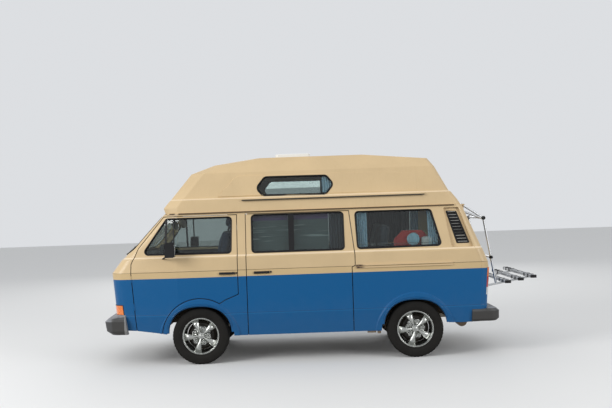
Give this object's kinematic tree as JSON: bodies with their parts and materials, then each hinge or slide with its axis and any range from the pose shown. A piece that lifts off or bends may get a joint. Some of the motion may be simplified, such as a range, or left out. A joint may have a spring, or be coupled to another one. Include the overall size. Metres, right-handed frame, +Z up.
{
  "type": "high-top camper van",
  "caption": "Rear-engined camper van with raised roof, sliding side door, louvred rear intakes, furnished cabin and a bicycle carrier on its tailgate.",
  "frame": {"origin": "middle of the whole footprint, on the ground under the tyres", "axes": "-X is the van's front, +Y its right side, +Z up"},
  "size_m": [5.09, 2.136, 2.424],
  "materials": {
    "body_paint": "gloss",
    "roof_paint": "gloss",
    "underbody": "satin",
    "black_trim": "matte",
    "window_glass": "gloss",
    "bumper_plastic": "satin",
    "lamp_glass": "gloss",
    "orange_lens": "gloss",
    "red_lens": "gloss",
    "chassis_iron": "matte",
    "engine_alloy": "satin",
    "exhaust_steel": "matte",
    "cab_plastic": "matte",
    "seat_fabric": "woven",
    "cushion_fabric": "woven",
    "curtain_cloth": "woven",
    "cabinet_wood": "satin",
    "rack_alloy": "brushed",
    "vent_plastic": "satin",
    "tyre_rubber": "matte",
    "wheel_alloy": "polished"
  },
  "bodies": {
    "van": {"floor_pan": "underbody", "rear_deck": "underbody", "window_bars": "black_trim", "side_left": "body_paint", "side_right": "body_paint", "front_panel": "body_paint", "rear_panel": "body_paint", "high_roof": "roof_paint", "sliding_door": "body_paint", "slide_rail": "black_trim", "windscreen": "window_glass", "side_windows": "window_glass", "front_bumper": "bumper_plastic", "rear_bumper": "bumper_plastic", "upper_grille": "black_trim", "lower_grille": "black_trim", "head_lamps": "lamp_glass", "indicators": "orange_lens", "rear_lamps": "red_lens", "air_vents": "black_trim", "awning_rail": "black_trim", "wipers": "black_trim", "front_axle": "chassis_iron", "rear_axle": "chassis_iron", "engine": "engine_alloy", "exhaust": "exhaust_steel", "dashboard": "cab_plastic", "front_seats": "seat_fabric", "bench_base": "cabinet_wood", "bench_cushions": "cushion_fabric", "tow_eye": "chassis_iron", "kitchen_unit": "cabinet_wood", "curtains": "curtain_cloth"},
    "steering_wheel": {"steering_wheel": "cab_plastic"},
    "front_door_left": {"front_door_left": "body_paint", "door_glass_left": "window_glass", "door_bars_left": "black_trim", "mirror_left": "black_trim"},
    "front_door_right": {"front_door_right": "body_paint", "door_glass_right": "window_glass", "door_bars_right": "black_trim", "mirror_right": "black_trim"},
    "tailgate": {"tailgate": "body_paint", "tailgate_glass": "window_glass", "bike_rack": "rack_alloy"},
    "vent_lid": {"vent_lid": "vent_plastic"},
    "knuckle_left": {"knuckle_left": "chassis_iron"},
    "knuckle_right": {"knuckle_right": "chassis_iron"},
    "wheel_front_left": {"tyre_front_left": "tyre_rubber", "wheel_front_left": "wheel_alloy"},
    "wheel_front_right": {"tyre_front_right": "tyre_rubber", "wheel_front_right": "wheel_alloy"},
    "wheel_rear_left": {"tyre_rear_left": "tyre_rubber", "wheel_rear_left": "wheel_alloy"},
    "wheel_rear_right": {"tyre_rear_right": "tyre_rubber", "wheel_rear_right": "wheel_alloy"}
  },
  "joints": [
    {"name": "steer_left", "type": "hinge", "parent": "van", "child": "knuckle_left", "pos_m": [-1.405, -0.705, 0.322], "axis": [0, 0, 1], "range_deg": [-33, 33]},
    {"name": "steer_right", "type": "hinge", "parent": "van", "child": "knuckle_right", "pos_m": [-1.405, 0.705, 0.322], "axis": [0, 0, 1], "range_deg": [-33, 33]},
    {"name": "steering_wheel_turn", "type": "hinge", "parent": "van", "child": "steering_wheel", "pos_m": [-1.837, 0.41, 1.224], "axis": [0.5, 0, 0.866], "range_deg": [-594, 594]},
    {"name": "spin_front_left", "type": "hinge", "parent": "knuckle_left", "child": "wheel_front_left", "pos_m": [-1.405, -0.785, 0.322], "axis": [0, 1, 0], "continuous": true},
    {"name": "spin_front_right", "type": "hinge", "parent": "knuckle_right", "child": "wheel_front_right", "pos_m": [-1.405, 0.785, 0.322], "axis": [0, 1, 0], "continuous": true},
    {"name": "spin_rear_left", "type": "hinge", "parent": "van", "child": "wheel_rear_left", "pos_m": [1.055, -0.785, 0.322], "axis": [0, 1, 0], "continuous": true},
    {"name": "spin_rear_right", "type": "hinge", "parent": "van", "child": "wheel_rear_right", "pos_m": [1.055, 0.785, 0.322], "axis": [0, 1, 0], "continuous": true},
    {"name": "door_left_open", "type": "hinge", "parent": "van", "child": "front_door_left", "pos_m": [-2.15241, -0.86594, 0.64], "axis": [0.0671, 0.0314, -0.9973], "range_deg": [0, 65]},
    {"name": "door_right_open", "type": "hinge", "parent": "van", "child": "front_door_right", "pos_m": [-2.15241, 0.86594, 0.64], "axis": [-0.0671, 0.0314, 0.9973], "range_deg": [0, 65]},
    {"name": "tailgate_open", "type": "hinge", "parent": "van", "child": "tailgate", "pos_m": [1.7, 0, 1.725], "axis": [0, -1, 0], "range_deg": [0, 80]},
    {"name": "vent_lid_open", "type": "hinge", "parent": "van", "child": "vent_lid", "pos_m": [-0.088, 0, 2.384], "axis": [0, 1, 0], "range_deg": [0, 40]}
  ],
  "couplings": [
    {"joint": "steer_right", "follows": "steer_left", "ratio": 1},
    {"joint": "steering_wheel_turn", "follows": "steer_left", "ratio": 18}
  ]
}
